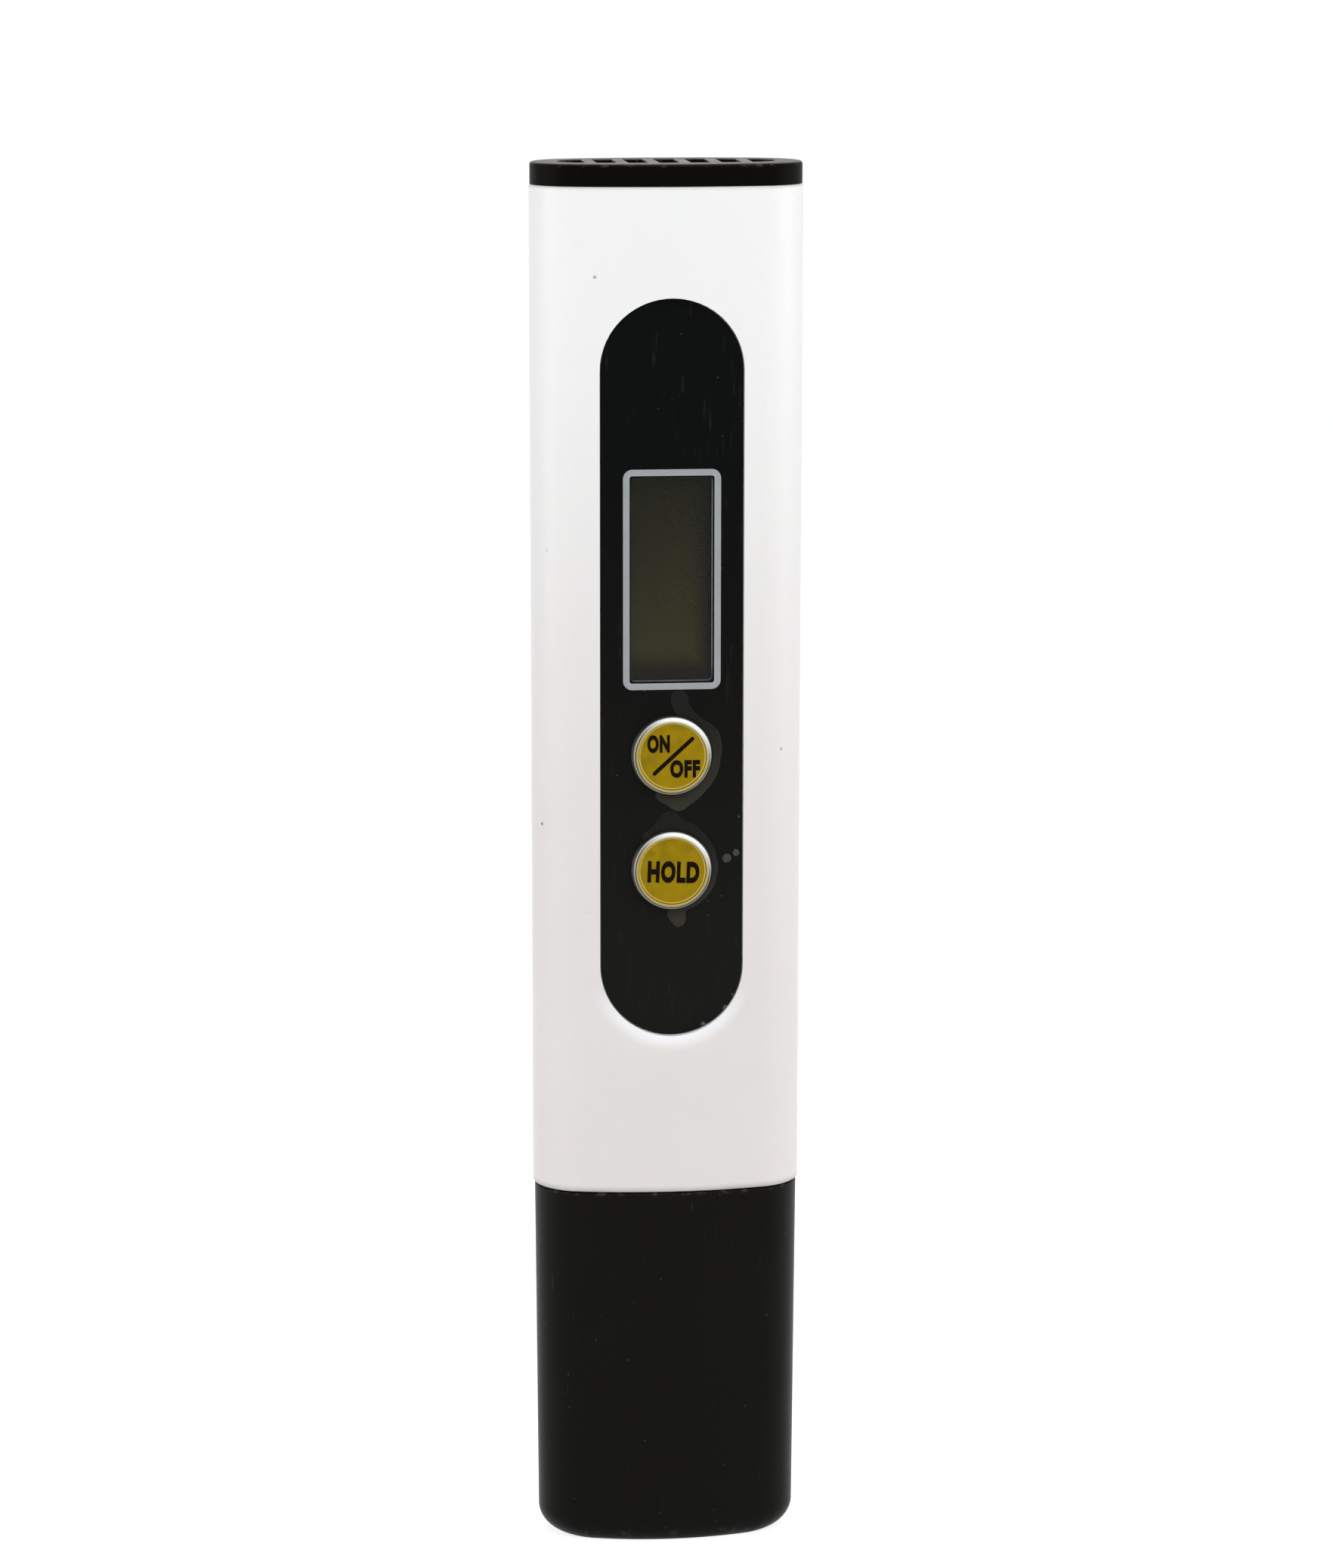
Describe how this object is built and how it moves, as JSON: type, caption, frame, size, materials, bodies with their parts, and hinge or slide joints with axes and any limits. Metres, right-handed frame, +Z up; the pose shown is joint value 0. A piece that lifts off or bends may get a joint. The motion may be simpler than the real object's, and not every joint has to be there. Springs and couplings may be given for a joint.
{
  "type": "total dissolved solids meter",
  "caption": "Pen-shaped water tester: white crowned case, black face panel with display and push buttons, black battery cap and pull-off probe cap.",
  "frame": {"origin": "under the middle of the probe cap's foot, on the surface the meter stands on", "axes": "+X across the front to the right, +Y from the display to the back, +Z up the pen"},
  "size_m": [0.03, 0.0142, 0.154],
  "materials": {
    "case_white": "satin moulded white",
    "cap_black": "fine spark-eroded black",
    "panel_black": "black printed film under gloss",
    "window_clear": "clear acrylic",
    "button_silver": "satin plated",
    "disc_yellow": "smooth yellow",
    "holder_black": "moulded black",
    "cell_steel": "nickel-plated steel",
    "contact_nickel": "nickel-plated spring strip",
    "board_green": "solder mask",
    "display_glass": "liquid crystal glass",
    "reflector_foil": "diffuse foil",
    "frame_plastic": "moulded white",
    "strip_rubber": "layered conductive rubber",
    "chip_resin": "cast black resin",
    "chip_ceramic": "fired ceramic",
    "trimmer_blue": "moulded blue",
    "screw_brass": "turned brass",
    "switch_black": "moulded black",
    "plug_black": "moulded black",
    "potting_resin": "cast resin",
    "pin_metal": "brushed titanium grey",
    "lead_red": "wire insulation",
    "lead_black": "wire insulation"
  },
  "bodies": {
    "probe_cap_body": {"probe_cap": "cap_black"},
    "battery_cap_body": {"battery_cap": "cap_black"},
    "power_button_body": {"power_button": "button_silver", "power_button_disc": "disc_yellow", "power_switch_plunger": "switch_black"},
    "hold_button_body": {"hold_button": "button_silver", "hold_button_disc": "disc_yellow", "hold_switch_plunger": "switch_black"},
    "trimmer_screw_body": {"trimmer_screw": "screw_brass"},
    "case": {"housing": "case_white", "face_panel": "panel_black", "display_window": "window_clear", "battery_holder": "holder_black", "battery_front": "cell_steel", "battery_rear": "cell_steel", "battery_contact_front": "contact_nickel", "battery_contact_rear": "contact_nickel", "circuit_board": "board_green", "lcd_front_glass": "display_glass", "lcd_rear_glass": "display_glass", "lcd_reflector": "reflector_foil", "lcd_frame": "frame_plastic", "zebra_strip_left": "strip_rubber", "zebra_strip_right": "strip_rubber", "chip_blob": "chip_resin", "chip_resistors": "chip_ceramic", "chip_capacitors": "chip_ceramic", "trimmer_body": "trimmer_blue", "electrode_plug": "plug_black", "potting_seal": "potting_resin", "electrode_left": "pin_metal", "electrode_right": "pin_metal", "electrode_lead_left": "lead_black", "electrode_lead_right": "lead_red", "temperature_sensor": "chip_resin", "temperature_leads": "lead_red", "power_switch": "switch_black", "hold_switch": "switch_black"}
  },
  "joints": [
    {"name": "case_lift", "type": "slide", "parent": "probe_cap_body", "child": "case", "axis": [0, 0, 1], "range_m": [0, 0.045]},
    {"name": "battery_cap_slide", "type": "slide", "parent": "case", "child": "battery_cap_body", "axis": [0, 0, 1], "range_m": [0, 0.018]},
    {"name": "power_button_press", "type": "slide", "parent": "case", "child": "power_button_body", "axis": [0, 1, 0], "range_m": [0, 0.00035], "stiffness_N_per_m": 400},
    {"name": "hold_button_press", "type": "slide", "parent": "case", "child": "hold_button_body", "axis": [0, 1, 0], "range_m": [0, 0.00035], "stiffness_N_per_m": 400},
    {"name": "trimmer_turn", "type": "hinge", "parent": "case", "child": "trimmer_screw_body", "pos_m": [0, 0.0034, 0.0699], "axis": [0, 1, 0], "range_deg": [-135, 135]}
  ]
}
